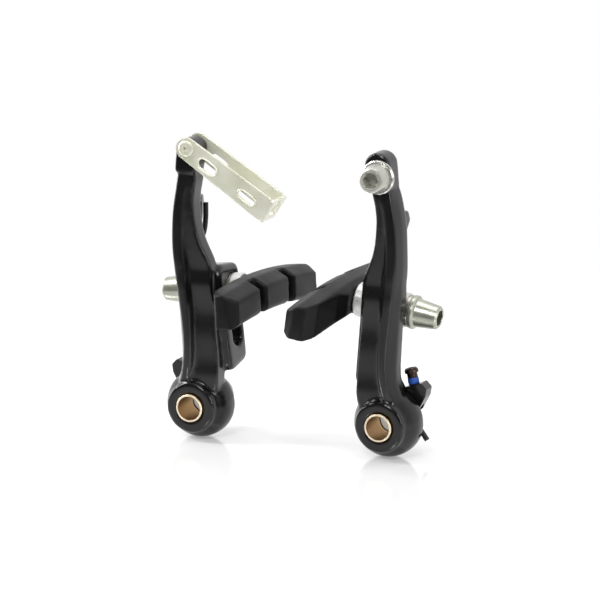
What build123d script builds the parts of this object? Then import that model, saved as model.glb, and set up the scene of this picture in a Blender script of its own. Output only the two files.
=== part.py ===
from build123d import *
from math import cos, pi, radians, sin, sqrt
import os

os.makedirs("parts", exist_ok=True)

# Driving dimensions, mm. One half is drawn with x outward from its pivot axis,
# y backward from the front end of its pivot bush and z up, then set in place.
boss_spacing = 67.5
pivot_length = 24.0
boss_bore = 8.1
bush_wall = 0.65
running_gap = 0.03
front_bush_length = 11.8
rear_bush_start = 12.8

collar_radius = 8.6
collar_front = 0.7
collar_back = 2.6
bell_radius = 11.6
bell_back = 12.5

head_top = 90.9
head_length = 11.4
head_depth = 8.5
link_head_middle = 0.3
link_head_half = 4.0
anchor_head_middle = -0.8
anchor_head_half = 4.4
head_waist_inner = 1.3
head_waist_outer = 0.6
rivet_drop = 3.1
anchor_drop = 7.7

stud_height = 38.1
stud_inner = 9.2
stud_back = 16.0
stud_tilt = 6.0
stud_radius = 3.0
flange_thickness = 8.0
flange_back = 22.5
flange_top = 9.8
flange_bottom = 26.5
slot_width = 7.2
slot_top = 5.6
slot_bottom = 19.0
washer_radius = 5.8

pad_length = 70.0
pad_height = 11.5
pad_thickness = 12.2
pad_arch = 280.0
groove_width = 5.0
groove_depth = 4.6
left_pad_cant = -2.0
left_pad_turn = 2.6
right_pad_cant = 2.0
right_pad_turn = -1.5

wire = 1.75
coil_radius = 6.15
tail_length = 12.0
leg_top = 67.5
channel_middle = 1.8
channel_width = 3.0
channel_floor = 4.8

holder_radius = 8.6
holder_front = 12.8
holder_back = 20.0
hub_radius = 5.6
screw_radius = 1.7

link_length = 34.8
link_droop = 33.0
link_sheet = 1.0
wall_gap = 0.12
rivet_radius = 1.7
noodle_radius = 2.6
cable_slit = 1.8

# Long enough to pass through any piece.
through = 60.0

rivet_height = head_top - rivet_drop
anchor_height = head_top - anchor_drop
head_foot = head_top - head_length


# A solid turned about the z axis from (radius, height) corners.
def turned(*profile):
    return revolve(Plane.XZ * make_face(Polyline(*profile, close=True)), Axis.Z)


# Lays a solid drawn along +z down along +y through the point x, z.
def lengthways(solid, x=0, z=0):
    return Pos(x, 0, z) * Rot(-90, 0, 0) * solid


def hexagon(across):
    return RegularPolygon(across / sqrt(3), 6)


# The pad frame: x forward, y up along the slot, z inward along the stud.
pad_frame = Plane(
    origin=(-stud_inner, stud_back, stud_height),
    x_dir=(0, -1, 0),
    z_dir=(-cos(radians(stud_tilt)), 0, sin(radians(stud_tilt))),
)


# Pivot: a bronze front bush for the arm and a steel bush for the spring holder.
bush_radius = boss_bore / 2 + bush_wall
bore = boss_bore / 2


def bush(start, end):
    edge = 0.15
    return lengthways(turned(
        (bore, start), (bush_radius - edge, start), (bush_radius, start + edge),
        (bush_radius, end - edge), (bush_radius - edge, end), (bore, end),
    ))


# Arm: a raised outer spine with a recessed inner web, lofted up the arm.
# Each station: height, inner edge, foot of the spine, front corner, outer edge,
# front of the spine, front of the web, back. The neck's heights are shares of
# the way from the root of the neck, beside the pad, to the foot of the head.
root_stations = [
    (2.0, -8.0, 1.5, 7.0, 9.4, 4.4, 4.6, 11.0),
    (6.5, -8.7, 0.9, 5.2, 7.8, 2.9, 3.4, 10.6),
    (10.0, -9.0, 0.2, 3.7, 6.3, 1.6, 2.8, 10.1),
    (14.0, -9.0, -0.7, 2.6, 5.2, 0.8, 3.1, 9.6),
    (19.0, -8.7, -1.2, 2.0, 4.9, 0.4, 3.3, 9.3),
    (26.0, -8.1, -1.1, 2.2, 5.3, 0.3, 3.3, 9.1),
    (36.0, -7.4, -0.5, 3.4, 6.1, 0.2, 3.3, 9.0),
    (46.0, -7.0, 0.6, 4.9, 6.9, 0.1, 2.9, 8.8),
]
neck_stations = [
    (0.12, -6.1, 1.1, 5.4, 7.2, 0.0, 2.5, 8.7),
    (0.24, -4.2, 1.5, 5.8, 7.4, 0.0, 2.0, 8.6),
    (0.36, -2.7, 1.7, 5.9, 7.4, 0.0, 1.6, 8.4),
    (0.48, -1.9, 1.7, 5.8, 7.3, 0.0, 1.2, 8.3),
    (0.70, -1.4, 1.2, 5.1, 6.7, 0.0, 0.7, 8.2),
    (0.88, -2.2, 0.2, 4.2, 5.5, 0.0, 0.4, 8.3),
]


def beam_section(height, inner, foot, corner, outer, front, web, back):
    waist = front + 0.5 * (back - front)
    outline = FilletPolyline(
        (inner, back), (inner, web), (foot, web), (foot + 0.9, front),
        (corner, front), (outer - 0.35, waist), (outer, back),
        radius=0.75, close=True,
    )
    return Plane.XY.offset(height) * make_face(outline)


def beam(middle, half):
    root = root_stations[-1][0]
    sections = [beam_section(*station) for station in root_stations]
    for share, *edges in neck_stations:
        sections.append(beam_section(root + share * (head_foot - root), *edges))
    inset = 0.3
    low = middle - half + head_waist_inner + inset
    high = middle + half + head_waist_outer - inset
    sections.append(beam_section(
        head_foot, low, middle - 0.15 * half, middle + 0.8 * half, high,
        inset, 2.3 * inset, head_depth - inset))
    return loft(sections)


def pivot_boss():
    rim = 0.9
    shoulder = bell_back - 2.6
    edge = 0.5
    outline = [
        Line((0, collar_front), (collar_radius - rim, collar_front)),
        RadiusArc((collar_radius - rim, collar_front), (collar_radius, collar_front + rim), -rim),
        Line((collar_radius, collar_front + rim), (collar_radius, collar_back)),
        Spline((collar_radius, collar_back), (bell_radius, shoulder), tangents=((0.6, 1), (0, 1))),
        Line((bell_radius, shoulder), (bell_radius, bell_back - edge)),
        Line((bell_radius, bell_back - edge), (bell_radius - edge, bell_back)),
        Line((bell_radius - edge, bell_back), (0, bell_back)),
        Line((0, bell_back), (0, collar_front)),
    ]
    return lengthways(revolve(Plane.XZ * make_face(outline), Axis.Z))


def head(middle, half):
    shoulder = head_top - half
    low = middle - half
    high = middle + half
    outline = make_face([
        Line((low + head_waist_inner, head_foot), (low, shoulder)),
        ThreePointArc((low, shoulder), (middle, head_top), (high, shoulder)),
        Line((high, shoulder), (high + head_waist_outer, head_foot)),
        Line((high + head_waist_outer, head_foot), (low + head_waist_inner, head_foot)),
    ])
    block = Pos(0, head_depth, 0) * extrude(Plane.XZ * outline, head_depth)
    rims = block.edges().filter_by(lambda edge: edge.center().Z > head_foot + 0.1)
    rims = rims.filter_by(lambda edge: abs(edge.center().Y - head_depth / 2) > head_depth / 2 - 0.01)
    return fillet(rims, 0.75)


# Flange: a plate behind the arm, square to the stud, with an upright slot.
def pad_flange():
    upper_front = stud_back - 6.0
    lower_front = stud_back - 8.4
    back = stud_back - flange_back
    outline = FilletPolyline(
        (upper_front, flange_top - 0.2), (upper_front - 4.0, flange_top), (back, flange_top - 1.6),
        (back, 1.8 - flange_bottom), (lower_front - 4.0, -flange_bottom), (lower_front, -flange_bottom),
        radius=3.2, close=True,
    )
    plate = extrude(make_face(outline), -flange_thickness)
    plate = fillet(plate.edges().group_by(Axis.Z)[-1], 1.6)
    slot = Pos(0, (slot_top - slot_bottom) / 2, -flange_thickness - 1) * extrude(
        Rot(0, 0, 90) * SlotOverall(slot_top + slot_bottom, slot_width), flange_thickness + 2)
    return pad_frame * (plate - slot)


# Spring catch: a hump behind the neck, whose inner side the spring leg bears on.
catch_inner = 0.4
catch_outer = 4.3
catch_reach = 18.2


def spring_catch():
    root = 3.6
    side = make_face(FilletPolyline(
        (root, leg_top - 10.4), (13.0, leg_top - 6.5), (catch_reach, leg_top - 1.2),
        (16.4, leg_top + 2.2), (root, leg_top + 3.2), radius=1.5, close=True))
    hump = Pos(catch_outer, 0, 0) * extrude(Plane.YZ * side, catch_inner - catch_outer)
    plan = make_face(Polyline(
        (catch_inner, root), (catch_inner, 12.8), (2.1, catch_reach), (catch_outer, catch_reach),
        (catch_outer, root), close=True))
    return hump & extrude(plan, 2 * leg_top)


# Channel up the back of the arm, in which the spring leg lies.
def spring_channel():
    bottom = bell_radius + 2.9
    top = leg_top - 13.3
    return Pos(channel_middle, channel_floor + through / 2, (bottom + top) / 2) * Box(
        channel_width, through, top - bottom)


def arm(middle, half, hole_height, hole_radius):
    body = beam(middle, half) + pivot_boss() + head(middle, half) + pad_flange()
    body -= spring_channel()
    body += spring_catch()
    body -= lengthways(Cylinder(bush_radius + running_gap, through))
    body -= lengthways(Cylinder(hole_radius, through), 0, hole_height)
    return body


# Return spring: a straight tail, two turns round the pivot and a long upper leg.
tail_angle = radians(36.2)
leg_angle = radians(26.0)
tail_back = holder_front + 1.1
coil_pitch = wire + 0.15
winding = 4 * pi + leg_angle - tail_angle
leg_back = tail_back + coil_pitch * winding / (2 * pi)


def coil_point(turn):
    back = tail_back + coil_pitch * (turn - tail_angle) / (2 * pi)
    return Vector(coil_radius * cos(turn), back, coil_radius * sin(turn))


def spring():
    start = coil_point(tail_angle)
    out = Vector(sin(tail_angle), 0, -cos(tail_angle))
    steps = 24
    path = [start + out * tail_length * share for share in (1.0, 0.6, 0.25)]
    path += [coil_point(tail_angle + winding * i / steps) for i in range(steps + 1)]
    channel_back = channel_floor + 2.3
    path += [
        Vector(3.0, leg_back, 8.0),
        Vector(channel_middle + 0.1, leg_back - 2.3, 12.2),
        Vector(channel_middle, leg_back - 5.6, 16.2),
        Vector(channel_middle, channel_back + 1.4, 20.8),
        Vector(channel_middle, channel_back, 27.0),
        Vector(channel_middle, channel_back, 42.0),
        Vector(1.4, 8.8, leg_top - 17.5),
        Vector(0.3, 10.4, leg_top - 13.0),
        Vector(-0.6, 11.6, leg_top - 9.5),
        Vector(-0.85, 12.4, leg_top - 5.5),
        Vector(-0.75, 12.8, leg_top),
    ]
    line = Spline(*path)
    section = Plane(origin=line @ 0, z_dir=line % 0) * Circle(wire / 2)
    return sweep(section, path=line)


# Spring holder: a cup round the coil with an ear for the adjusting screw.
screw_back = holder_front + 2.6
screw_foot = Vector(holder_radius - 1.2, screw_back, holder_radius + 0.6)
screw_top = Vector(holder_radius - 3.1, screw_back, holder_radius + 8.8)
screw_frame = Plane(origin=screw_foot, z_dir=screw_top - screw_foot)
ear_back = screw_back + 2.5


def holder_ear():
    outline = FilletPolyline(
        (3.0, 6.5), (4.0, 11.2), (8.3, 12.4), (10.2, 13.2),
        (12.0, 11.2), (11.6, 8.6), (9.0, 3.6), (7.0, 2.0),
        radius=0.7, close=True,
    )
    ear = Pos(0, ear_back, 0) * extrude(Plane.XZ * make_face(outline), ear_back - holder_front)
    return ear - lengthways(Cylinder(holder_radius - 0.8, through))


def spring_holder():
    pocket_in = coil_radius - wire / 2 - 0.15
    pocket_out = coil_radius + wire / 2 + 0.2
    floor = holder_front + 6.0
    rim = 0.4
    taper = holder_back - 3.0
    cup = lengthways(turned(
        (bush_radius, holder_front), (pocket_in, holder_front), (pocket_in, floor),
        (pocket_out, floor), (pocket_out, holder_front), (holder_radius - rim, holder_front),
        (holder_radius, holder_front + rim), (holder_radius, taper),
        (holder_radius - 1.0, holder_back), (hub_radius, holder_back),
        (hub_radius, pivot_length), (bush_radius, pivot_length),
    ))
    holder = cup + holder_ear()
    holder -= screw_frame * Cylinder(screw_radius + 0.05, 16.0)
    leg_frame = Plane(
        origin=coil_point(leg_angle + 4 * pi),
        x_dir=(cos(leg_angle), 0, sin(leg_angle)),
        z_dir=(-sin(leg_angle), 0, cos(leg_angle)),
    )
    leg_gate = leg_frame * Pos(0, 0, 6.5) * Box(wire + 0.9, wire + 0.9, 14)
    tail_frame = Plane(
        origin=coil_point(tail_angle),
        z_dir=(sin(tail_angle), 0, -cos(tail_angle)),
    )
    tail_gate = tail_frame * Pos(0, 0, 8) * Cylinder(wire / 2 + 0.25, 16)
    return holder - leg_gate - tail_gate


def adjusting_screw():
    top = (screw_top - screw_foot).length
    tip = -2.4
    head_radius = 2.3
    screw = turned(
        (0, tip), (screw_radius - 0.5, tip), (screw_radius, tip + 0.5), (screw_radius, top - 1.6),
        (head_radius, top - 1.6), (head_radius, top - 0.6), (head_radius - 0.5, top), (0, top),
    )
    recess = Pos(0, 0, top) * (Box(3.0, 0.8, 1.8) + Box(0.8, 3.0, 1.8))
    return screw_frame * (screw - recess)


# Pad fixing: domed and cupped washers about one centre in the middle of the flange.
centre = -flange_thickness / 2
inner_dome_edge = 1.1
outer_dome_edge = 2.0
inner_stack = 4.05
outer_stack = 5.7
flat_washer = 1.3
dome_radius = washer_radius - 0.3
dome_hole = slot_width / 2 + 0.15
cup_hole = stud_radius + 0.2
seat = inner_stack
nut_base = -flange_thickness - outer_stack - flat_washer
nut_length = 9.7
thread_depth = 4.4
key_across = 5.0
stud_end = nut_base - 3.9
stud_grip = 6.0


def washer_ball(edge):
    return sqrt((flange_thickness / 2 + edge) ** 2 + dome_radius ** 2)


def dome(edge):
    rise = flange_thickness / 2
    blank = Pos(0, 0, rise + 5) * Cylinder(dome_radius, 10) & Sphere(washer_ball(edge))
    return blank - Cylinder(dome_hole, through)


def cup(edge, stack):
    rise = flange_thickness / 2
    blank = Pos(0, 0, (rise + stack) / 2 + 1) * Cylinder(washer_radius, rise + stack - 2)
    blank = chamfer(blank.edges().group_by(Axis.Z)[-1], 0.4)
    blank -= Sphere(washer_ball(edge) + running_gap)
    blank -= Pos(0, 0, rise + edge - 0.25 - 5) * Cylinder(washer_radius + 1, 10)
    return blank - Cylinder(cup_hole, through)


def inward(washer):
    return Pos(0, 0, centre) * washer


def outward(washer):
    return Pos(0, 0, centre) * Rot(180, 0, 0) * washer


def washer_flat():
    edge = 0.2
    rim = washer_radius - 0.4
    ring = turned(
        (cup_hole, 0), (rim - edge, 0), (rim, edge),
        (rim, flat_washer - edge), (rim - edge, flat_washer), (cup_hole, flat_washer),
    )
    return Pos(0, 0, nut_base) * ring


def pad_nut():
    foot = 5.65
    body = turned(
        (stud_radius, 0), (foot - 0.35, 0), (foot, 0.35), (foot, 1.4),
        (foot - 0.45, 1.8), (foot - 0.9, 2.1), (3.95, nut_length - 0.6), (3.4, nut_length),
        (0, nut_length), (0, thread_depth), (stud_radius, thread_depth),
    )
    socket = Pos(0, 0, thread_depth - 0.4) * extrude(hexagon(key_across), nut_length)
    return Pos(0, 0, nut_base) * Rot(180, 0, 0) * (body - socket)


def pad_stud():
    return turned(
        (0, stud_end), (stud_radius - 0.5, stud_end), (stud_radius, stud_end + 0.5),
        (stud_radius, seat + stud_grip), (0, seat + stud_grip),
    )


# Pad: an arched block, waisted at the back, cut into three by two cross grooves.
def pad():
    face = seat + pad_thickness
    top = pad_height / 2 + 0.05
    low = top - pad_height
    section = Plane.YZ * make_face(FilletPolyline(
        (top - 2.4, seat), (top, seat + 2.6), (top, face - 4.4), (top - 2.7, face),
        (low + 1.2, face), (low, face - 1.6), (low, seat + 2.6), (low + 2.0, seat),
        radius=0.6, close=True,
    ))
    axis = Axis((0, -pad_arch, 0), (0, 0, 1))
    sweep_angle = 360 * pad_length / (2 * pi * pad_arch)
    block = revolve(section.rotate(axis, -sweep_angle / 2), axis, sweep_angle)
    half = pad_length / 2
    waist = 9.5
    end = [
        (half - 2.6, face + 3), (half - 2.4, face - 0.2), (half, face - 3.4), (half - 0.6, seat + 4.6),
        (half - 6.0, seat + 2.6), (15.0, seat + 1.5), (waist, seat), (waist, seat - 3),
    ]
    other_end = [(-x, z) for x, z in reversed(end)]
    plan = Plane.XZ * make_face(FilletPolyline(*end, *other_end, radius=1.2, close=True))
    block &= extrude(plan, through, both=True)
    block_length = (pad_length - 5.0 - 2 * groove_width) / 3
    for side in (-1, 1):
        across = side * (block_length + groove_width) / 2
        turn = Rot(0, 0, -across / pad_arch * 180 / pi)
        block -= Pos(across, 0, face) * turn * Box(groove_width, through, 2 * groove_depth)
    block -= Pos(0, 0, seat) * Cylinder(washer_radius + 0.25, 1.2)
    block += Pos(0, 0, seat + 0.3) * Cylinder(washer_radius - 0.6, 0.6)
    return block - Pos(0, 0, seat + stud_grip - 4.0) * Cylinder(stud_radius, 8.0)


# The shoe: all that turns on the domes, as it is set on one side.
def shoe_pieces(cant, turn):
    tilt = pad_frame * Pos(0, 0, centre) * Rot(-cant, 0, 0) * Pos(0, 0, -centre)
    shoe = {
        "pad": Rot(0, 0, turn) * pad(),
        "pad_stud": pad_stud(),
        "inner_cup_washer": inward(cup(inner_dome_edge, inner_stack)),
        "outer_cup_washer": outward(cup(outer_dome_edge, outer_stack)),
        "flat_washer": washer_flat(),
        "pad_nut": pad_nut(),
    }
    return {name: tilt * solid for name, solid in shoe.items()}


# Cable link: a folded channel riveted to the head of the left arm.
link_frame = Plane(
    origin=(0, 0, rivet_height),
    x_dir=(-cos(radians(link_droop)), 0, -sin(radians(link_droop))),
    z_dir=(0, 1, 0),
)
link_half_height = 4.25
slot_drop = 0.6
near_slot_place = 9.4
near_slot = (7.2, 3.3)
far_slot_place = 26.0
far_slot = (7.0, 2.6)


def link_wall():
    near = 3.6
    far = link_half_height
    corner = 2.2
    bend = corner * (1 - sqrt(0.5))
    end = link_length
    return make_face([
        ThreePointArc((0, -near), (-near, 0), (0, near)),
        Line((0, near), (end - corner, far)),
        ThreePointArc((end - corner, far), (end - bend, far - bend), (end, far - corner)),
        Line((end, far - corner), (end, corner - far)),
        ThreePointArc((end, corner - far), (end - bend, bend - far), (end - corner, -far)),
        Line((end - corner, -far), (0, -near)),
    ])


def cable_link():
    inside = head_depth + 2 * wall_gap
    outline = link_wall()
    front = Pos(0, 0, -wall_gap - link_sheet) * extrude(outline, link_sheet)
    back = Pos(0, 0, head_depth + wall_gap) * extrude(outline, link_sheet)
    plate_outline = RectangleRounded(2 * link_half_height, inside + 2 * link_sheet, 0.6)
    end = Pos(link_length - link_sheet, 0, head_depth / 2) * extrude(Plane.YZ * plate_outline, link_sheet)
    link = front + back + end
    link -= Cylinder(rivet_radius + running_gap, through)
    link -= Pos(near_slot_place, -slot_drop, 0) * extrude(SlotOverall(*near_slot), through, both=True)
    link -= Pos(far_slot_place, -slot_drop, -wall_gap - link_sheet / 2) * extrude(
        SlotOverall(*far_slot), 2, both=True)
    middle = Pos(link_length, 0, head_depth / 2)
    link -= middle * Rot(0, 90, 0) * Cylinder(noodle_radius, 6)
    link -= middle * Pos(0, 5, 0) * Box(6, 10, cable_slit)
    return link_frame * link


def link_rivet():
    front = -wall_gap - link_sheet
    back = head_depth + wall_gap + link_sheet
    head_radius = 2.6
    dimple = 0.8
    rivet = turned(
        (dimple, front - 0.5), (head_radius - 0.4, front - 0.5), (head_radius, front - 0.2),
        (head_radius, front), (rivet_radius, front), (rivet_radius, back), (head_radius, back),
        (head_radius, back + 0.2), (head_radius - 0.4, back + 0.5), (0, back + 0.5),
        (0, front + 0.4), (dimple, front + 0.2),
    )
    return lengthways(rivet, 0, rivet_height)


# Cable anchor: a socket bolt and a broad washer on the head of the right arm.
anchor_washer_thickness = 1.3
anchor_washer_radius = 5.6
bolt_head_height = 5.6
bolt_head_radius = 4.6


def anchor_washer():
    thick = anchor_washer_thickness
    rim = anchor_washer_radius
    ring = turned(
        (stud_radius, -thick), (rim - 0.4, -thick), (rim, 0.4 - thick),
        (rim, -0.2), (rim - 0.2, 0), (stud_radius, 0),
    )
    return lengthways(ring, 0, anchor_height)


def anchor_bolt():
    under = -anchor_washer_thickness
    top = under - bolt_head_height
    rim = bolt_head_radius
    end = head_depth + 1.6
    bolt = turned(
        (0, top), (rim - 1.1, top), (rim - 0.6, top + 0.4), (rim - 0.35, top + 1.2),
        (rim, under - 1.0), (rim, under), (stud_radius, under), (stud_radius, end - 0.6),
        (stud_radius - 0.6, end), (0, end),
    )
    bolt -= Pos(0, 0, top - 1) * extrude(hexagon(key_across), 5.0)
    return lengthways(bolt, 0, anchor_height)


def right(solid):
    return Pos(boss_spacing / 2, -pivot_length, 0) * solid


def left(solid):
    return Pos(-boss_spacing / 2, -pivot_length, 0) * mirror(solid, about=Plane.YZ)


both_sides = {
    "pivot_bush": bush(0, front_bush_length),
    "rear_bush": bush(rear_bush_start, pivot_length),
    "spring_holder": spring_holder(),
    "spring": spring(),
    "adjusting_screw": adjusting_screw(),
    "inner_dome_washer": pad_frame * inward(dome(inner_dome_edge)),
    "outer_dome_washer": pad_frame * outward(dome(outer_dome_edge)),
}

pieces = {
    "left_arm": left(arm(link_head_middle, link_head_half, rivet_height, rivet_radius)),
    "right_arm": right(arm(anchor_head_middle, anchor_head_half, anchor_height, stud_radius)),
    "cable_link": left(cable_link()),
    "link_rivet": left(link_rivet()),
    "anchor_bolt": right(anchor_bolt()),
    "anchor_washer": right(anchor_washer()),
}
for name, solid in {**both_sides, **shoe_pieces(left_pad_cant, left_pad_turn)}.items():
    pieces["left_" + name] = left(solid)
for name, solid in {**both_sides, **shoe_pieces(right_pad_cant, right_pad_turn)}.items():
    pieces["right_" + name] = right(solid)

for name, solid in pieces.items():
    export_step(solid, f"parts/{name}.step")
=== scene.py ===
import math

import bmesh
import bpy
from mathutils import Matrix, Vector


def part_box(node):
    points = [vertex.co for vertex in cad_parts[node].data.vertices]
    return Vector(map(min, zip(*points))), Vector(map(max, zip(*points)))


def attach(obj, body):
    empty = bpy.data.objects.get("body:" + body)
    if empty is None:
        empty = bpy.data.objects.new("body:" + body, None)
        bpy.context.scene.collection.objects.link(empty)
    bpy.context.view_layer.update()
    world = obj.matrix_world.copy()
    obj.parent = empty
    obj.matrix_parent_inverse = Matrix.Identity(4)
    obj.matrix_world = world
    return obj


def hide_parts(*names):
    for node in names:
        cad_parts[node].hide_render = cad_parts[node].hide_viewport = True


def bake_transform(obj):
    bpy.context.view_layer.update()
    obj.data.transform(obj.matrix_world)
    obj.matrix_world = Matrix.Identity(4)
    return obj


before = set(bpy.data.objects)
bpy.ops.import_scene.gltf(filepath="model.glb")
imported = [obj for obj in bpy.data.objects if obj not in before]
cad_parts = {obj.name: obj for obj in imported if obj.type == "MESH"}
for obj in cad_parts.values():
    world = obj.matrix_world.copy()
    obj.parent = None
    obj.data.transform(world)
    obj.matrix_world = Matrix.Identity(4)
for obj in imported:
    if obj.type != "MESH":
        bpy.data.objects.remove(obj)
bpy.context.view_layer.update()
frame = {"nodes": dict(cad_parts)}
nodes = frame["nodes"]
mm = 0.001
print("frame loaded:", len(nodes), "nodes")


# Shared places, worked out from the frame
bushLow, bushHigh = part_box("right_pivot_bush")
pivotX = (bushLow.x + bushHigh.x) / 2
frontY = bushLow.y
floorZ = min(low.z for low, high in map(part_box, nodes))

# Right pad stud: where its axis meets the flange, from the pivot's front end, and which way it points
stud = {"inward": 9.2 * mm, "back": 16.0 * mm, "height": 38.1 * mm, "tilt": math.radians(6.0)}
padSeat = Vector((pivotX - stud["inward"], frontY + stud["back"], stud["height"]))
studAxis = Vector((-math.cos(stud["tilt"]), 0, math.sin(stud["tilt"])))


def addObject(name, data):
    thing = bpy.data.objects.new(name, data)
    bpy.context.scene.collection.objects.link(thing)
    return thing


def newTree(name, kind, inputs, outputs):
    tree = bpy.data.node_groups.new(name, kind)
    for label, socketType, default in inputs:
        socket = tree.interface.new_socket(label, in_out="INPUT", socket_type=socketType)
        if default is not None:
            socket.default_value = default
    for label, socketType in outputs:
        tree.interface.new_socket(label, in_out="OUTPUT", socket_type=socketType)
    return tree, tree.nodes.new("NodeGroupInput"), tree.nodes.new("NodeGroupOutput")


def feed(tree, socket, value):  # links another node's output, or sets a plain value
    if hasattr(value, "is_linked"):
        tree.links.new(value, socket)
    else:
        socket.default_value = value


def mathNode(tree, operation, *values, clamp=False):
    node = tree.nodes.new("ShaderNodeMath")
    node.operation = operation
    node.use_clamp = clamp
    for socket, value in zip(node.inputs, values):
        feed(tree, socket, value)
    return node.outputs[0]


def vectorNode(tree, operation, *values):
    node = tree.nodes.new("ShaderNodeVectorMath")
    node.operation = operation
    for socket, value in zip(node.inputs, values):
        feed(tree, socket, value)
    return node.outputs["Value" if operation in ("DOT_PRODUCT", "LENGTH") else "Vector"]


def splitCoords(tree, kind="Object"):  # the coordinates, and their X, Y and Z
    coords = tree.nodes.new("ShaderNodeTexCoord")
    split = tree.nodes.new("ShaderNodeSeparateXYZ")
    tree.links.new(coords.outputs[kind], split.inputs[0])
    return coords.outputs[kind], split.outputs


def mirroredCoords(tree):  # object coordinates with the left half folded onto the right
    axes = splitCoords(tree)[1]
    join = tree.nodes.new("ShaderNodeCombineXYZ")
    tree.links.new(mathNode(tree, "ABSOLUTE", axes["X"]), join.inputs["X"])
    tree.links.new(axes["Y"], join.inputs["Y"])
    tree.links.new(axes["Z"], join.inputs["Z"])
    return join.outputs[0]


def noiseNode(tree, coords, scale, detail=4.0):
    noise = tree.nodes.new("ShaderNodeTexNoise")
    noise.inputs["Detail"].default_value = detail
    tree.links.new(coords, noise.inputs["Vector"])
    feed(tree, noise.inputs["Scale"], scale)
    return noise.outputs["Fac"]


def rangeNode(tree, value, low, high, toLow=0.0, toHigh=1.0):
    node = tree.nodes.new("ShaderNodeMapRange")
    tree.links.new(value, node.inputs["Value"])
    for label, bound in (("From Min", low), ("From Max", high), ("To Min", toLow), ("To Max", toHigh)):
        feed(tree, node.inputs[label], bound)
    return node.outputs["Result"]


def bevelNode(tree, radius):
    bevel = tree.nodes.new("ShaderNodeBevel")
    bevel.samples = 4
    tree.links.new(radius, bevel.inputs["Radius"])
    return bevel.outputs[0]


# Surface grain: uneven gloss, fine relief and softly broken edges
patchScale = 95.0
patchRange = (0.3, 0.7)


def makeGrainGroup():
    tree, given, out = newTree(
        "surfaceGrain", "ShaderNodeTree",
        [("Scale", "NodeSocketFloat", 900.0), ("Relief", "NodeSocketFloat", 0.05),
         ("Depth", "NodeSocketFloat", 0.0001), ("Edge Radius", "NodeSocketFloat", 0.0003),
         ("Smooth Gloss", "NodeSocketFloat", 0.2), ("Rough Gloss", "NodeSocketFloat", 0.35)],
        [("Roughness", "NodeSocketFloat"), ("Mottle", "NodeSocketFloat"), ("Normal", "NodeSocketVector")],
    )
    coords = mirroredCoords(tree)
    patches = noiseNode(tree, coords, patchScale, 3.0)
    fine = noiseNode(tree, coords, given.outputs["Scale"], 2.0)
    bump = tree.nodes.new("ShaderNodeBump")
    tree.links.new(bevelNode(tree, given.outputs["Edge Radius"]), bump.inputs["Normal"])
    tree.links.new(fine, bump.inputs["Height"])
    tree.links.new(given.outputs["Relief"], bump.inputs["Strength"])
    tree.links.new(given.outputs["Depth"], bump.inputs["Distance"])
    gloss = rangeNode(tree, patches, *patchRange, given.outputs["Smooth Gloss"], given.outputs["Rough Gloss"])
    tree.links.new(gloss, out.inputs["Roughness"])
    tree.links.new(patches, out.inputs["Mottle"])
    tree.links.new(bump.outputs[0], out.inputs["Normal"])
    return tree


# Turning marks: fine rings about an axis, for lathe-made pieces
ringDepth = 0.00005
ringShade = 0.35


def makeTurningGroup():
    tree, given, out = newTree(
        "turningMarks", "ShaderNodeTree",
        [("Centre", "NodeSocketVector", (0, 0, 0)), ("Axis", "NodeSocketVector", (0, 1, 0)),
         ("Pitch", "NodeSocketFloat", 0.0003), ("Relief", "NodeSocketFloat", 0.1),
         ("Normal", "NodeSocketVector", None)],
        [("Rings", "NodeSocketFloat"), ("Normal", "NodeSocketVector")],
    )
    offset = vectorNode(tree, "SUBTRACT", mirroredCoords(tree), given.outputs["Centre"])
    along = vectorNode(tree, "DOT_PRODUCT", offset, given.outputs["Axis"])
    bump = tree.nodes.new("ShaderNodeBump")
    bump.inputs["Distance"].default_value = ringDepth
    mixed = mathNode(tree, "ADD", along, vectorNode(tree, "LENGTH", offset))
    phase = mathNode(tree, "MULTIPLY", mathNode(tree, "DIVIDE", mixed, given.outputs["Pitch"]), math.tau)
    rings = mathNode(tree, "MULTIPLY_ADD", mathNode(tree, "SINE", phase), 0.5, 0.5)
    tree.links.new(rings, bump.inputs["Height"])
    tree.links.new(given.outputs["Relief"], bump.inputs["Strength"])
    tree.links.new(given.outputs["Normal"], bump.inputs["Normal"])
    tree.links.new(rings, out.inputs["Rings"])
    tree.links.new(bump.outputs[0], out.inputs["Normal"])
    return tree


# Edge wear and painted edge highlight: a broken mask along the edges of a piece, where its colour is
# lightened
edgeRange = (0.985, 0.86)  # rounded against true normal: no lightening, full lightening
breakScale = 700.0
breakRange = (0.35, 0.62)


def makeEdgeHighlightGroup():
    tree, given, out = newTree(
        "edgeWearAndHighlight", "ShaderNodeTree",
        [("Width", "NodeSocketFloat", 0.0004), ("Amount", "NodeSocketFloat", 0.5)],
        [("Mask", "NodeSocketFloat")],
    )
    geometry = tree.nodes.new("ShaderNodeNewGeometry")
    rounded = bevelNode(tree, given.outputs["Width"])
    lean = vectorNode(tree, "DOT_PRODUCT", rounded, geometry.outputs["Normal"])
    edge = rangeNode(tree, lean, *edgeRange)
    broken = rangeNode(tree, noiseNode(tree, mirroredCoords(tree), breakScale), *breakRange)
    # painted edge highlight, with a little wear: the edge band broken up by noise
    wornAndLit = mathNode(tree, "MULTIPLY", edge, broken)
    mask = mathNode(tree, "MULTIPLY", wornAndLit, given.outputs["Amount"], clamp=True)
    tree.links.new(mask, out.inputs["Mask"])
    return tree


grainGroup = makeGrainGroup()
turningGroup = makeTurningGroup()
edgeHighlightGroup = makeEdgeHighlightGroup()


def newMaterial(name, metallic, specular):
    material = bpy.data.materials.new(name)
    material.use_nodes = True
    shader = material.node_tree.nodes["Principled BSDF"]
    shader.inputs["Metallic"].default_value = metallic
    shader.inputs["Specular IOR Level"].default_value = specular
    return material, material.node_tree, shader


def placeGroup(tree, group, values):
    node = tree.nodes.new("ShaderNodeGroup")
    node.node_tree = group
    for label, value in values.items():
        node.inputs[label].default_value = value
    return node


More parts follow.
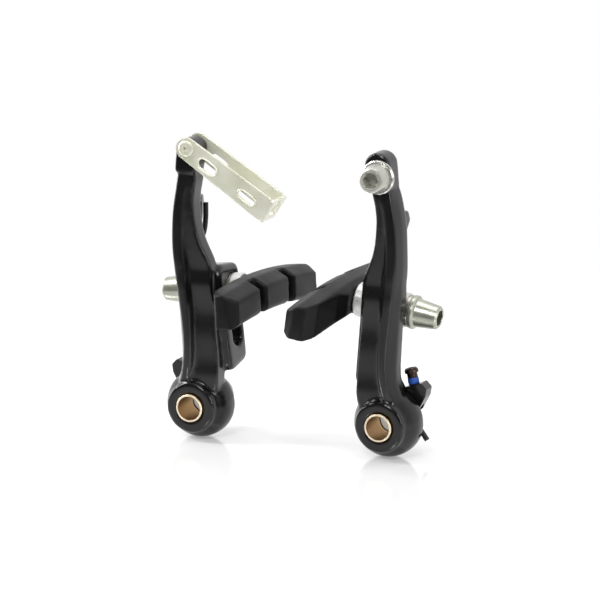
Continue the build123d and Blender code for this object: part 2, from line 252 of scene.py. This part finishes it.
def mixColours(tree, factor, first, second):
    mix = tree.nodes.new("ShaderNodeMix")
    mix.data_type = "RGBA"
    tree.links.new(factor, mix.inputs["Factor"])
    for label, colour in (("A", first), ("B", second)):
        feed(tree, mix.inputs[label], (*colour, 1.0) if isinstance(colour, tuple) else colour)
    return mix.outputs["Result"]


# A plain finish: two mottled colours, edges lightened as a painted highlight with a little wear, grain, and
# turning marks where a piece is lathe-made
def makeFinish(name, look):
    material, tree, shader = newMaterial(name, look["metallic"], look.get("specular", 0.5))
    grain = placeGroup(tree, grainGroup, look["grain"])
    wearAndHighlight = placeGroup(tree, edgeHighlightGroup, look["wearAndHighlight"])
    mottle = rangeNode(tree, grain.outputs["Mottle"], *patchRange)
    colour = mixColours(tree, mottle, look["dark"], look["light"])
    normal = grain.outputs["Normal"]
    if "turning" in look:
        turning = placeGroup(tree, turningGroup, look["turning"])
        tree.links.new(normal, turning.inputs["Normal"])
        normal = turning.outputs["Normal"]
        shade = rangeNode(tree, turning.outputs["Rings"], 0.0, 1.0, 0.0, ringShade)
        colour = mixColours(tree, shade, colour, look["dark"])
    if "rim" in look:  # paler front face
        front = rangeNode(tree, splitCoords(tree)[1]["Y"], *look["rimDepth"])
        colour = mixColours(tree, front, colour, look["rim"])
    # painted edge highlight, with a little wear: edges mixed towards the paler edge colour
    colour = mixColours(tree, wearAndHighlight.outputs["Mask"], colour, look["wornAndLit"])
    tree.links.new(colour, shader.inputs["Base Color"])
    tree.links.new(grain.outputs["Roughness"], shader.inputs["Roughness"])
    tree.links.new(normal, shader.inputs["Normal"])
    return material


# In each look the worn colour is a painted edge highlight with a little wear, laid on the edges by the edge
# mask
armLook = {
    "metallic": 0.0, "specular": 0.5,
    "dark": (0.004, 0.0038, 0.0041), "light": (0.0068, 0.0065, 0.007), "wornAndLit": (0.02, 0.02, 0.021),
    "grain": {"Scale": 1500.0, "Relief": 0.08, "Depth": 0.00006, "Edge Radius": 0.0006,
              "Smooth Gloss": 0.15, "Rough Gloss": 0.22},
    "wearAndHighlight": {"Width": 0.0005, "Amount": 0.3},
}
holderLook = {
    "metallic": 0.0,
    "dark": (0.004, 0.004, 0.0045), "light": (0.007, 0.007, 0.0075), "wornAndLit": (0.02, 0.02, 0.02),
    "grain": {"Scale": 900.0, "Relief": 0.04, "Depth": 0.00005, "Edge Radius": 0.0004,
              "Smooth Gloss": 0.14, "Rough Gloss": 0.24},
    "wearAndHighlight": {"Width": 0.0004, "Amount": 0.2},
}
springLook = {
    "metallic": 0.0,
    "dark": (0.005, 0.005, 0.005), "light": (0.009, 0.009, 0.009), "wornAndLit": (0.04, 0.04, 0.04),
    "grain": {"Scale": 2600.0, "Relief": 0.12, "Depth": 0.00004, "Edge Radius": 0.0001,
              "Smooth Gloss": 0.3, "Rough Gloss": 0.44},
    "wearAndHighlight": {"Width": 0.0002, "Amount": 0.2},
}
screwLook = {
    "metallic": 1.0, "dark": (0.05, 0.034, 0.028), "light": (0.10, 0.07, 0.06), "wornAndLit": (0.25, 0.22, 0.2),
    "grain": {"Scale": 1800.0, "Relief": 0.1, "Depth": 0.00004, "Edge Radius": 0.0002,
              "Smooth Gloss": 0.26, "Rough Gloss": 0.4},
    "wearAndHighlight": {"Width": 0.0002, "Amount": 0.6},
}
patchLook = {
    "metallic": 0.0, "dark": (0.008, 0.06, 0.36), "light": (0.015, 0.10, 0.50), "wornAndLit": (0.05, 0.2, 0.62),
    "grain": {"Scale": 2600.0, "Relief": 0.2, "Depth": 0.00006, "Edge Radius": 0.0001,
              "Smooth Gloss": 0.4, "Rough Gloss": 0.55},
    "wearAndHighlight": {"Width": 0.0002, "Amount": 0.3},
}
padLook = {
    "metallic": 0.0, "specular": 0.22,
    "dark": (0.0028, 0.0027, 0.003), "light": (0.0046, 0.0045, 0.0049), "wornAndLit": (0.02, 0.02, 0.021),
    "grain": {"Scale": 2200.0, "Relief": 0.3, "Depth": 0.00008, "Edge Radius": 0.0009,
              "Smooth Gloss": 0.40, "Rough Gloss": 0.52},
    "wearAndHighlight": {"Width": 0.0006, "Amount": 0.35},
}
zincLook = {
    "metallic": 0.48, "dark": (0.73, 0.73, 0.57), "light": (0.89, 0.89, 0.76), "wornAndLit": (0.96, 0.96, 0.90),
    "grain": {"Scale": 1300.0, "Relief": 0.08, "Depth": 0.00004, "Edge Radius": 0.00025,
              "Smooth Gloss": 0.26, "Rough Gloss": 0.38},
    "wearAndHighlight": {"Width": 0.0003, "Amount": 0.6},
}
brightLook = {
    "metallic": 0.8, "dark": (0.58, 0.57, 0.54), "light": (0.72, 0.71, 0.68), "wornAndLit": (0.86, 0.86, 0.84),
    "grain": {"Scale": 1600.0, "Relief": 0.05, "Depth": 0.00003, "Edge Radius": 0.0002,
              "Smooth Gloss": 0.18, "Rough Gloss": 0.28},
    "wearAndHighlight": {"Width": 0.0003, "Amount": 0.5},
}
boltLook = {
    "metallic": 0.6, "dark": (0.46, 0.46, 0.41), "light": (0.60, 0.60, 0.54), "wornAndLit": (0.76, 0.76, 0.71),
    "grain": {"Scale": 1100.0, "Relief": 0.12, "Depth": 0.00005, "Edge Radius": 0.00025,
              "Smooth Gloss": 0.26, "Rough Gloss": 0.38},
    "wearAndHighlight": {"Width": 0.0003, "Amount": 0.5},
}
paleLook = {
    "metallic": 0.35, "dark": (0.72, 0.72, 0.70), "light": (0.84, 0.84, 0.82), "wornAndLit": (0.92, 0.92, 0.91),
    "grain": {"Scale": 1600.0, "Relief": 0.06, "Depth": 0.00003, "Edge Radius": 0.0003,
              "Smooth Gloss": 0.26, "Rough Gloss": 0.36},
    "wearAndHighlight": {"Width": 0.0003, "Amount": 0.4},
}
steelLook = {
    "metallic": 1.0, "dark": (0.36, 0.34, 0.29), "light": (0.52, 0.50, 0.44), "wornAndLit": (0.72, 0.70, 0.66),
    "grain": {"Scale": 1700.0, "Relief": 0.15, "Depth": 0.00005, "Edge Radius": 0.0002,
              "Smooth Gloss": 0.3, "Rough Gloss": 0.45},
    "wearAndHighlight": {"Width": 0.0002, "Amount": 0.5},
}
bronzeLook = {
    "metallic": 1.0, "dark": (0.46, 0.25, 0.08), "light": (0.66, 0.40, 0.15), "wornAndLit": (0.98, 0.86, 0.66),
    "rim": (0.97, 0.83, 0.63), "rimDepth": (frontY + 0.0002, frontY + 0.00008),
    "grain": {"Scale": 1700.0, "Relief": 0.1, "Depth": 0.00004, "Edge Radius": 0.00015,
              "Smooth Gloss": 0.28, "Rough Gloss": 0.42},
    "wearAndHighlight": {"Width": 0.0003, "Amount": 0.9},
}
nutTone = {"metallic": 0.85, "dark": (0.37, 0.39, 0.32), "light": (0.50, 0.51, 0.44)}  # greener and darker
pivotTurning = {"Centre": (pivotX, frontY, 0.0), "Axis": (0.0, 1.0, 0.0), "Pitch": 0.00035, "Relief": 0.25}
studTurning = {"Centre": tuple(padSeat), "Axis": tuple(studAxis), "Pitch": 0.0003, "Relief": 0.15}

armPaint = makeFinish("armPaint", armLook)
holderPlastic = makeFinish("holderPlastic", holderLook)
springBlack = makeFinish("springBlack", springLook)
screwDark = makeFinish("screwDark", screwLook)
nylonBlue = makeFinish("nylonBlue", patchLook)
padRubber = makeFinish("padRubber", padLook)
zincPlate = makeFinish("zincPlate", zincLook)
turnedZinc = makeFinish("turnedZinc", {**zincLook, **nutTone, "turning": studTurning})
brightPlate = makeFinish("brightPlate", brightLook)
turnedBright = makeFinish("turnedBright", {**brightLook, "turning": studTurning})
boltZinc = makeFinish("boltZinc", boltLook)
paleAlloy = makeFinish("paleAlloy", {**paleLook, "turning": studTurning})
plainSteel = makeFinish("plainSteel", steelLook)
bronze = makeFinish("bronze", {**bronzeLook, "turning": pivotTurning})
print("materials made:", len(bpy.data.materials))

nodeFinishes = {
    "arm": armPaint, "pivot_bush": bronze, "rear_bush": plainSteel, "spring_holder": holderPlastic,
    "adjusting_screw": screwDark, "pad": padRubber, "pad_stud": plainSteel,
    "inner_dome_washer": plainSteel, "inner_cup_washer": paleAlloy, "outer_dome_washer": plainSteel,
    "outer_cup_washer": turnedBright, "flat_washer": plainSteel, "pad_nut": turnedZinc,
    "cable_link": zincPlate, "link_rivet": zincPlate, "anchor_bolt": boltZinc, "anchor_washer": brightPlate,
    "spring": springBlack,
}
for name, node in nodes.items():
    plainName = name.removeprefix("left_").removeprefix("right_")
    node.data.materials.clear()
    node.data.materials.append(nodeFinishes[plainName])
print("finishes set on the frame")


# Cast and moulded skins: a copy of the solid, remeshed and eased so that its edges run soft
skin = {
    "arm": {"voxel": 0.42 * mm, "passes": 16, "body": "lever", "slot": "arm_paint"},
    "pad": {"voxel": 0.40 * mm, "passes": 9, "body": "shoe", "slot": "pad_rubber"},
}
mergeReach = 0.002 * mm
easeFactor = 0.5


def softSkin(nodeName, size):
    mesh = nodes[nodeName].data.copy()
    shape = bmesh.new()
    shape.from_mesh(mesh)
    bmesh.ops.remove_doubles(shape, verts=shape.verts, dist=mergeReach)
    shape.to_mesh(mesh)
    shape.free()
    base = addObject(nodeName + "_solid", mesh)
    remesh = base.modifiers.new("remesh", "REMESH")
    remesh.mode = "VOXEL"
    remesh.voxel_size = size["voxel"]
    ease = base.modifiers.new("ease", "SMOOTH")
    ease.factor = easeFactor
    ease.iterations = size["passes"]
    graph = bpy.context.evaluated_depsgraph_get()
    eased = bpy.data.meshes.new_from_object(base.evaluated_get(graph))
    bpy.data.objects.remove(base)
    eased.shade_smooth()
    eased.materials.clear()
    eased.materials.append(nodes[nodeName].data.materials[0])
    return addObject(nodeName + "_skin", eased)


for side in ("left", "right"):
    for part, size in skin.items():
        piece = softSkin(side + "_" + part, size)
        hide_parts(side + "_" + part)
        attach(piece, side + "_" + size["body"])
        print(piece.name, len(piece.data.polygons), "faces")
print("skins eased")


# Wire along a path: resampled curve swept with a round section
def makeWireTree():
    tree, given, out = newTree(
        "wireAlongPath", "GeometryNodeTree",
        [("Path", "NodeSocketGeometry", None), ("Wire Radius", "NodeSocketFloat", 0.0008),
         ("Step", "NodeSocketFloat", 0.0006), ("Sides", "NodeSocketInt", 14),
         ("Finish", "NodeSocketMaterial", None)],
        [("Wire", "NodeSocketGeometry")],
    )
    resample = tree.nodes.new("GeometryNodeResampleCurve")
    resample.mode = "LENGTH"
    circle = tree.nodes.new("GeometryNodeCurvePrimitiveCircle")
    sweep = tree.nodes.new("GeometryNodeCurveToMesh")
    sweep.inputs["Fill Caps"].default_value = True
    smooth = tree.nodes.new("GeometryNodeSetShadeSmooth")
    realize = tree.nodes.new("GeometryNodeRealizeInstances")
    finish = tree.nodes.new("GeometryNodeSetMaterial")
    link = tree.links.new
    link(given.outputs["Path"], resample.inputs["Curve"])
    link(given.outputs["Step"], resample.inputs["Length"])
    link(given.outputs["Sides"], circle.inputs["Resolution"])
    link(given.outputs["Wire Radius"], circle.inputs["Radius"])
    link(resample.outputs[0], sweep.inputs["Curve"])
    link(circle.outputs[0], sweep.inputs["Profile Curve"])
    link(sweep.outputs[0], smooth.inputs["Geometry"])
    link(smooth.outputs[0], realize.inputs[0])
    link(realize.outputs[0], finish.inputs["Geometry"])
    link(given.outputs["Finish"], finish.inputs["Material"])
    link(finish.outputs[0], out.inputs["Wire"])
    return tree


# Screw thread: a spiral swept with a small ridge section
def makeThreadTree():
    tree, given, out = newTree(
        "screwThread", "GeometryNodeTree",
        [("Base", "NodeSocketGeometry", None), ("Radius", "NodeSocketFloat", 0.0017),
         ("Pitch", "NodeSocketFloat", 0.0006), ("Turns", "NodeSocketFloat", 4.0),
         ("Ridge", "NodeSocketFloat", 0.0002), ("Finish", "NodeSocketMaterial", None)],
        [("Thread", "NodeSocketGeometry")],
    )
    spiral = tree.nodes.new("GeometryNodeCurveSpiral")
    spiral.inputs["Resolution"].default_value = 40
    section = tree.nodes.new("GeometryNodeCurvePrimitiveCircle")
    section.inputs["Resolution"].default_value = 6
    sweep = tree.nodes.new("GeometryNodeCurveToMesh")
    sweep.inputs["Fill Caps"].default_value = True
    realize = tree.nodes.new("GeometryNodeRealizeInstances")
    finish = tree.nodes.new("GeometryNodeSetMaterial")
    height = tree.nodes.new("ShaderNodeMath")
    height.operation = "MULTIPLY"
    link = tree.links.new
    link(given.outputs["Pitch"], height.inputs[0])
    link(given.outputs["Turns"], height.inputs[1])
    link(given.outputs["Turns"], spiral.inputs["Rotations"])
    link(given.outputs["Radius"], spiral.inputs["Start Radius"])
    link(given.outputs["Radius"], spiral.inputs["End Radius"])
    link(height.outputs[0], spiral.inputs["Height"])
    link(given.outputs["Ridge"], section.inputs["Radius"])
    link(spiral.outputs[0], sweep.inputs["Curve"])
    link(section.outputs[0], sweep.inputs["Profile Curve"])
    link(sweep.outputs[0], realize.inputs[0])
    link(realize.outputs[0], finish.inputs["Geometry"])
    link(given.outputs["Finish"], finish.inputs["Material"])
    link(finish.outputs[0], out.inputs["Thread"])
    return tree


wireTree = makeWireTree()
threadTree = makeThreadTree()


# Runs a tree on an object and keeps the result as a plain mesh object at the origin
def bakeTree(base, tree, values, name, place):
    modifier = base.modifiers.new(tree.name, "NODES")
    modifier.node_group = tree
    sockets = [item for item in tree.interface.items_tree if item.in_out == "INPUT"]
    identifiers = {socket.name: socket.identifier for socket in sockets}
    for label, value in values.items():
        modifier[identifiers[label]] = value
    bpy.context.view_layer.update()
    graph = bpy.context.evaluated_depsgraph_get()
    mesh = bpy.data.meshes.new_from_object(base.evaluated_get(graph))
    base.modifiers.remove(modifier)
    bpy.data.objects.remove(base)
    mesh.name = name
    mesh.transform(place)
    if place.determinant() < 0:
        mesh.flip_normals()
    return addObject(name, mesh)


def pathObject(name, points, closed=False):  # a smooth curve through every point
    curve = bpy.data.curves.new(name, "CURVE")
    curve.dimensions = "3D"
    curve.resolution_u = 6
    spline = curve.splines.new("BEZIER")
    spline.bezier_points.add(len(points) - 1)
    for knot, point in zip(spline.bezier_points, points):
        knot.co = point
    spline.use_cyclic_u = closed
    for knot in spline.bezier_points:
        knot.handle_left_type = "AUTO"
        knot.handle_right_type = "AUTO"
    return addObject(name, curve)


# Return springs: the coil stays with the pivot, and the leg's path runs up into the arm's channel
spring = {
    "wire": 1.75 * mm, "wireStep": 0.5 * mm, "wireSides": 16,
    "coilRadius": 6.15 * mm, "coilTurns": 2, "coilPoints": 48, "pitch": 1.9 * mm,
    "tailAngle": math.radians(36.2), "legAngle": math.radians(26.0), "tailBack": 13.9 * mm,
    "tailLength": 12.0 * mm, "tailShares": (1.0, 0.6, 0.25),
    "bend": (5.0 * mm, 21.0 * mm),  # heights between which the leg passes from pivot to arm
    # the leg's path in mm from the pivot's front end: outward, back, up
    "leg": [(3.0, 17.65, 8.0), (1.9, 15.35, 12.2), (1.8, 12.05, 16.2), (1.8, 8.5, 20.8), (1.8, 7.1, 27.0),
            (1.8, 7.1, 42.0), (1.4, 8.8, 50.0), (0.3, 10.4, 54.5), (-0.6, 11.6, 58.0), (-0.85, 12.4, 62.0),
            (-0.75, 12.8, 67.5)],
}


def springPaths():
    angle = spring["tailAngle"]
    winding = spring["coilTurns"] * math.tau + spring["legAngle"] - angle
    radius = spring["coilRadius"]
    outward = Vector((math.sin(angle), 0, -math.cos(angle)))
    coil = []
    for step in range(spring["coilPoints"] + 1):
        turn = angle + winding * step / spring["coilPoints"]
        back = spring["tailBack"] + spring["pitch"] * (turn - angle) / math.tau
        coil.append(Vector((radius * math.cos(turn), back, radius * math.sin(turn))))
    tail = [coil[0] + outward * spring["tailLength"] * share for share in spring["tailShares"]]
    leg = [Vector(point) * mm for point in spring["leg"]]
    return tail + coil + leg[:1], coil[-2:] + leg


sidePlaces = {
    "left": Matrix.Translation((-pivotX, frontY, 0)) @ Matrix.Scale(-1, 4, (1, 0, 0)),
    "right": Matrix.Translation((pivotX, frontY, 0)),
}
for side, place in sidePlaces.items():
    coilPath, legPath = springPaths()
    values = {"Wire Radius": spring["wire"] / 2, "Step": spring["wireStep"], "Sides": spring["wireSides"],
              "Finish": springBlack}
    coil = bakeTree(pathObject("coilPath", coilPath), wireTree, values, side + "_spring_coil", place)
    leg = bakeTree(pathObject("legPath", legPath), wireTree, values, side + "_spring_leg", place)
    for wire in (coil, leg):
        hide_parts(side + "_spring")
    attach(coil, "pivots")
    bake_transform(leg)
print("springs made")


# Adjusting screws: rolled thread and a nylon locking patch below the head
screw = {
    "foot": (7.4, 15.4, 9.2), "top": (5.5, 15.4, 17.4),  # in mm, as the spring's leg
    "threadRadius": 1.62 * mm, "threadStart": 3.1 * mm, "ridge": 0.2 * mm, "pitch": 0.6 * mm, "turns": 6.0,
    "patchStart": 3.1 * mm, "patchEnd": 5.2 * mm, "patchRadius": 1.75 * mm, "patchSides": 40, "patchRows": 9,
    "patchSwell": 0.12 * mm, "patchRipple": 0.03 * mm, "ripples": 3,
}


def axisPlace(foot, top):
    axis = (Vector(top) - Vector(foot)).normalized()
    return Matrix.Translation(Vector(foot) * mm) @ axis.to_track_quat("Z", "Y").to_matrix().to_4x4()


def nylonPatch(name, place):
    mesh = bpy.data.meshes.new(name)
    shape = bmesh.new()
    around = screw["patchSides"]
    angles = [math.tau * i / around for i in range(around)]
    rings = []
    for row in range(screw["patchRows"]):
        share = row / (screw["patchRows"] - 1)
        swell = screw["patchSwell"] * math.sin(math.pi * share) ** 0.5
        ripple = screw["patchRipple"] * math.cos(math.tau * screw["ripples"] * share)
        height = screw["patchStart"] + share * (screw["patchEnd"] - screw["patchStart"])
        reach = screw["patchRadius"] + swell + ripple
        rings.append([shape.verts.new((reach * math.cos(a), reach * math.sin(a), height)) for a in angles])
    for low, high in zip(rings, rings[1:]):
        for i in range(around):
            j = (i + 1) % around
            shape.faces.new((low[i], low[j], high[j], high[i]))
    shape.faces.new(list(reversed(rings[0])))
    shape.faces.new(rings[-1])
    bmesh.ops.recalc_face_normals(shape, faces=shape.faces)
    for face in shape.faces:
        face.smooth = len(face.verts) == 4
    shape.to_mesh(mesh)
    shape.free()
    mesh.transform(place)
    if place.determinant() < 0:
        mesh.flip_normals()
    mesh.materials.append(nylonBlue)
    return addObject(name, mesh)


for side, place in sidePlaces.items():
    screwPlace = place @ axisPlace(screw["foot"], screw["top"])
    lifted = screwPlace @ Matrix.Translation((0, 0, screw["threadStart"]))
    values = {"Radius": screw["threadRadius"], "Pitch": screw["pitch"], "Turns": screw["turns"],
              "Ridge": screw["ridge"], "Finish": screwDark}
    base = addObject("threadBase", bpy.data.meshes.new("threadBase"))
    thread = bakeTree(base, threadTree, values, side + "_screw_thread", lifted)
    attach(thread, side + "_adjuster")
    patch = nylonPatch(side + "_nylon_patch", screwPlace)
    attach(patch, side + "_adjuster")
print("adjusting screws dressed")


# Link: pressed rims round the slots in its walls
linkRim = {
    "droop": math.radians(33.0), "rivetHeight": 87.8 * mm,
    "near": (9.4, 7.2, 3.3), "far": (26.0, 7.0, 2.6),  # slots in mm: place along the link, length, width
    "drop": -0.6, "grow": 0.3, "frontFace": -1.12, "backFace": 9.62,  # in mm too
    "bead": 0.28 * mm, "beadStep": 0.3 * mm, "beadSides": 8, "endPoints": 8,
    "rims": [("near", "front"), ("far", "front"), ("near", "back")],
}


def slotOutline(along, length, width, back):
    half = (length - width) / 2
    points = []
    for end, turn in ((1, -math.pi / 2), (-1, math.pi / 2)):
        for step in range(linkRim["endPoints"] + 1):
            angle = turn + math.pi * step / linkRim["endPoints"]
            points.append(Vector((
                -(along + end * half + width / 2 * math.cos(angle)), back,
                linkRim["drop"] + width / 2 * math.sin(angle),
            )) * mm)
    return points


rimPlace = sidePlaces["left"] @ Matrix.Translation((0, 0, linkRim["rivetHeight"]))
rimPlace = rimPlace @ Matrix.Rotation(-linkRim["droop"], 4, "Y")
for slot, wall in linkRim["rims"]:
    along, length, width = linkRim[slot]
    points = slotOutline(along, length + linkRim["grow"], width + linkRim["grow"], linkRim[wall + "Face"])
    values = {"Wire Radius": linkRim["bead"], "Step": linkRim["beadStep"], "Sides": linkRim["beadSides"],
              "Finish": zincPlate}
    rim = bakeTree(pathObject("rimPath", points, True), wireTree, values, f"link_rim_{slot}_{wall}", rimPlace)
    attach(rim, "link")
print("link rims pressed")


# Studio: white glossy floor, white surroundings, soft boxes
studio = {
    "floorSize": 6.0, "floorColour": (0.86, 0.86, 0.86, 1), "floorLift": 0.27, "floorGloss": 0.42,
    "floorRoughness": 0.12, "shadowReach": (0.10, 0.30), "fill": 0.3,
    # mirror rays see this level in front, and full white behind the second Y of each pair
    "dimFront": 0.12, "floorDim": (-0.3, 0.1), "worldDim": (-0.35, 0.25),
    "boxes": [  # name, place, width, height, power
        ("leftBox", (-0.75, -0.20, 0.60), 0.16, 0.6, 7.0),
        ("sideBox", (-0.85, 0.10, 0.16), 0.16, 0.45, 3.2),
        ("rightBox", (0.90, -0.35, 0.35), 0.12, 0.6, 3.2),
        ("frontBox", (0.10, -0.95, 0.80), 0.30, 0.25, 5.0),
        ("topBox", (0.0, 0.05, 0.95), 0.7, 0.5, 3.6),
    ],
}


def seenWhite(tree):  # camera, mirror and see-through rays
    path = tree.nodes.new("ShaderNodeLightPath")
    seen = mathNode(tree, "MAXIMUM", path.outputs["Is Camera Ray"], path.outputs["Is Glossy Ray"])
    return mathNode(tree, "MAXIMUM", seen, path.outputs["Is Transmission Ray"]), path


# Full white to the camera, and a dark flag in front for mirror rays
def whiteLevel(tree, path, depth, front, back):
    mirrored = rangeNode(tree, depth, front, back, studio["dimFront"], 1.0)
    return mathNode(tree, "MAXIMUM", path.outputs["Is Camera Ray"], mirrored)


def makeFloor():
    half = studio["floorSize"] / 2
    mesh = bpy.data.meshes.new("floor")
    corners = [(-half, -half, floorZ), (half, -half, floorZ), (half, half, floorZ), (-half, half, floorZ)]
    mesh.from_pydata(corners, [], [(0, 1, 2, 3)])
    floor = addObject("floor", mesh)
    material = bpy.data.materials.new("floorWhite")
    material.use_nodes = True
    tree = material.node_tree
    tree.nodes.remove(tree.nodes["Principled BSDF"])
    diffuse = tree.nodes.new("ShaderNodeBsdfDiffuse")
    diffuse.inputs["Color"].default_value = studio["floorColour"]
    glossy = tree.nodes.new("ShaderNodeBsdfGlossy")
    glossy.inputs["Roughness"].default_value = studio["floorRoughness"]
    lift = tree.nodes.new("ShaderNodeEmission")
    white = tree.nodes.new("ShaderNodeEmission")
    add = tree.nodes.new("ShaderNodeAddShader")
    mix = tree.nodes.new("ShaderNodeMixShader")
    fade = tree.nodes.new("ShaderNodeMixShader")
    mix.inputs[0].default_value = studio["floorGloss"]
    coords, axes = splitCoords(tree)
    seen, path = seenWhite(tree)
    level = whiteLevel(tree, path, axes["Y"], *studio["floorDim"])
    lifted = mathNode(tree, "MULTIPLY", mathNode(tree, "MULTIPLY", seen, level), studio["floorLift"])
    tree.links.new(lifted, lift.inputs["Strength"])
    tree.links.new(level, white.inputs["Strength"])
    far = rangeNode(tree, vectorNode(tree, "LENGTH", coords), *studio["shadowReach"])
    tree.links.new(mathNode(tree, "MULTIPLY", far, seen), fade.inputs[0])
    tree.links.new(diffuse.outputs[0], mix.inputs[1])
    tree.links.new(glossy.outputs[0], mix.inputs[2])
    tree.links.new(mix.outputs[0], add.inputs[0])
    tree.links.new(lift.outputs[0], add.inputs[1])
    tree.links.new(add.outputs[0], fade.inputs[1])
    tree.links.new(white.outputs[0], fade.inputs[2])
    tree.links.new(fade.outputs[0], tree.nodes["Material Output"].inputs["Surface"])
    mesh.materials.append(material)


def makeWorld():
    world = bpy.data.worlds.new("studioWorld")
    bpy.context.scene.world = world
    world.use_nodes = True
    tree = world.node_tree
    background = tree.nodes["Background"]
    axes = splitCoords(tree, "Generated")[1]
    seen, path = seenWhite(tree)
    lit = mathNode(tree, "MULTIPLY", whiteLevel(tree, path, axes["Y"], *studio["worldDim"]), seen)
    unseen = mathNode(tree, "MULTIPLY", mathNode(tree, "SUBTRACT", 1.0, seen), studio["fill"])
    tree.links.new(mathNode(tree, "ADD", lit, unseen), background.inputs["Strength"])
    background.inputs["Color"].default_value = (1, 1, 1, 1)


def makeLamps(target):
    for name, spot, width, height, power in studio["boxes"]:
        data = bpy.data.lights.new(name, "AREA")
        data.shape = "RECTANGLE"
        data.size = width
        data.size_y = height
        data.energy = power
        lamp = addObject(name, data)
        lamp.location = spot
        lamp.rotation_euler = (target - Vector(spot)).to_track_quat("-Z", "Y").to_euler()


shot = {
    "azimuth": math.radians(23.07), "elevation": math.radians(12.64), "distance": 1.317,
    "target": (0.00125, -0.012, 0.0375), "lens": 240.0, "sensor": 36.0, "clipEnd": 50.0,
}


def makeCamera():
    azimuth = shot["azimuth"]
    level = math.cos(shot["elevation"])
    away = Vector((math.sin(azimuth) * level, -math.cos(azimuth) * level, math.sin(shot["elevation"])))
    data = bpy.data.cameras.new("camera")
    data.lens = shot["lens"]
    data.sensor_width = shot["sensor"]
    data.clip_end = shot["clipEnd"]
    camera = addObject("camera", data)
    camera.location = Vector(shot["target"]) + away * shot["distance"]
    camera.rotation_euler = (-away).to_track_quat("-Z", "Y").to_euler()
    bpy.context.scene.camera = camera


makeFloor()
makeWorld()
makeLamps(Vector(shot["target"]))
makeCamera()
bpy.context.scene.view_settings.view_transform = "Standard"
print("studio ready")
